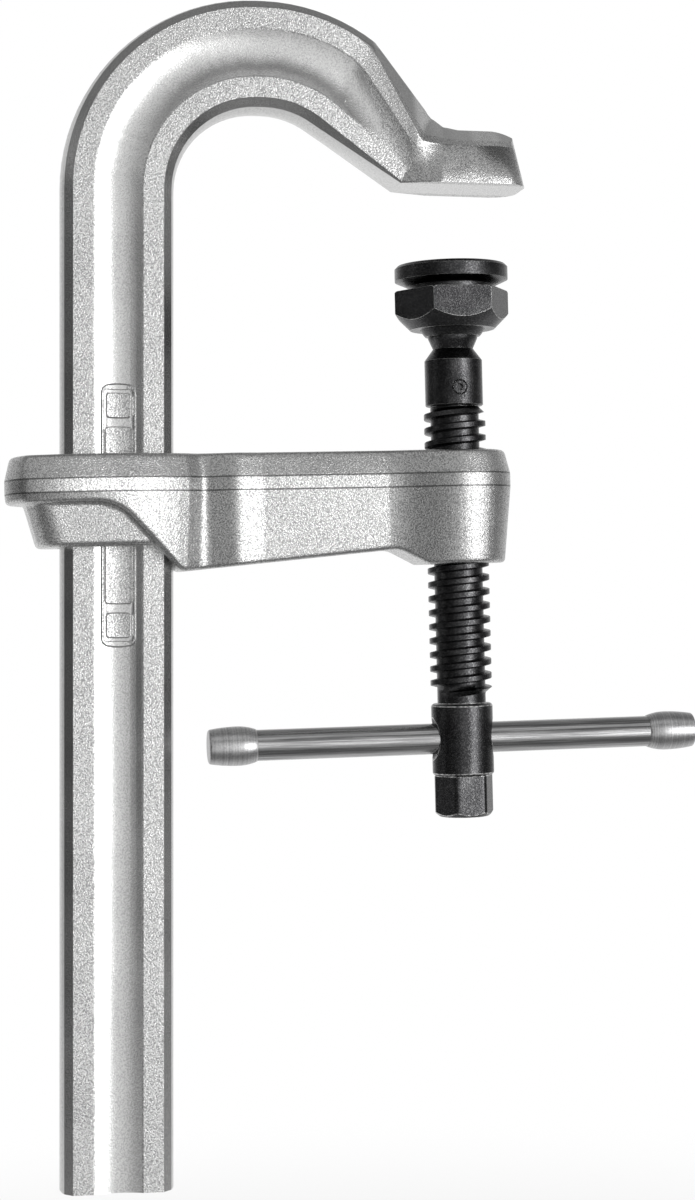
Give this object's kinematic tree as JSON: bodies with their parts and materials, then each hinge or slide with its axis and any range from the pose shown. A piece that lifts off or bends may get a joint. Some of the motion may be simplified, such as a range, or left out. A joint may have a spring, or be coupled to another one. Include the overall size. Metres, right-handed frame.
{
  "type": "bar clamp",
  "caption": "All-steel bar clamp: grooved rail bent into a fixed jaw, sliding arm, trapezoidal screw with swivel pad and sliding tommy bar.",
  "frame": {"origin": "centre of the fixed jaw's flat clamping face", "axes": "+Z along the rail, from the sliding arm towards the fixed jaw and out of the back of that jaw; +X from the rail across the throat to the screw; Y across the clamp's flat side, which is its plane of symmetry"},
  "size_m": [0.2483, 0.048, 0.4155],
  "materials": {
    "bright_forging": "bright zinc plate over a sandblasted drop forging",
    "bright_bar": "bright drawn bar, zinc plated",
    "black_oxide": "black oxide, satin"
  },
  "bodies": {
    "rail": {"rail_with_fixed_jaw": "bright_forging"},
    "sliding_arm": {"sliding_arm": "bright_forging"},
    "thrust_head": {"ball_stud": "black_oxide", "grub_screw": "black_oxide"},
    "spindle": {"spindle": "black_oxide"},
    "tommy_bar": {"tommy_bar_rod": "bright_bar", "tommy_bar_cap_left": "bright_bar", "tommy_bar_cap_right": "bright_bar"},
    "pressure_pad": {"pressure_plate": "black_oxide", "pad_nut": "black_oxide"}
  },
  "joints": [
    {"name": "arm_slide", "type": "slide", "parent": "rail", "child": "sliding_arm", "axis": [0, 0, 1], "range_m": [-0.22, 0]},
    {"name": "spindle_travel", "type": "slide", "parent": "sliding_arm", "child": "thrust_head", "axis": [-0.0257, 0, 0.9997], "range_m": [-0.01501, 0.02001]},
    {"name": "spindle_turn", "type": "hinge", "parent": "thrust_head", "child": "spindle", "pos_m": [-0.00052, 0, -0.09381], "axis": [-0.0257, 0, 0.9997], "range_deg": [-1080, 1440]},
    {"name": "tommy_bar_slide", "type": "slide", "parent": "spindle", "child": "tommy_bar", "axis": [0.9997, 0, 0.0257], "range_m": [-0.01, 0.062]},
    {"name": "pad_tilt", "type": "hinge", "parent": "thrust_head", "child": "pressure_pad", "pos_m": [-0.00179, 0, -0.04422], "axis": [0, 1, 0], "range_deg": [-10, 10]}
  ],
  "couplings": [
    {"joint": "spindle_travel", "follows": "spindle_turn", "m_per_rad": 0.00079577}
  ]
}
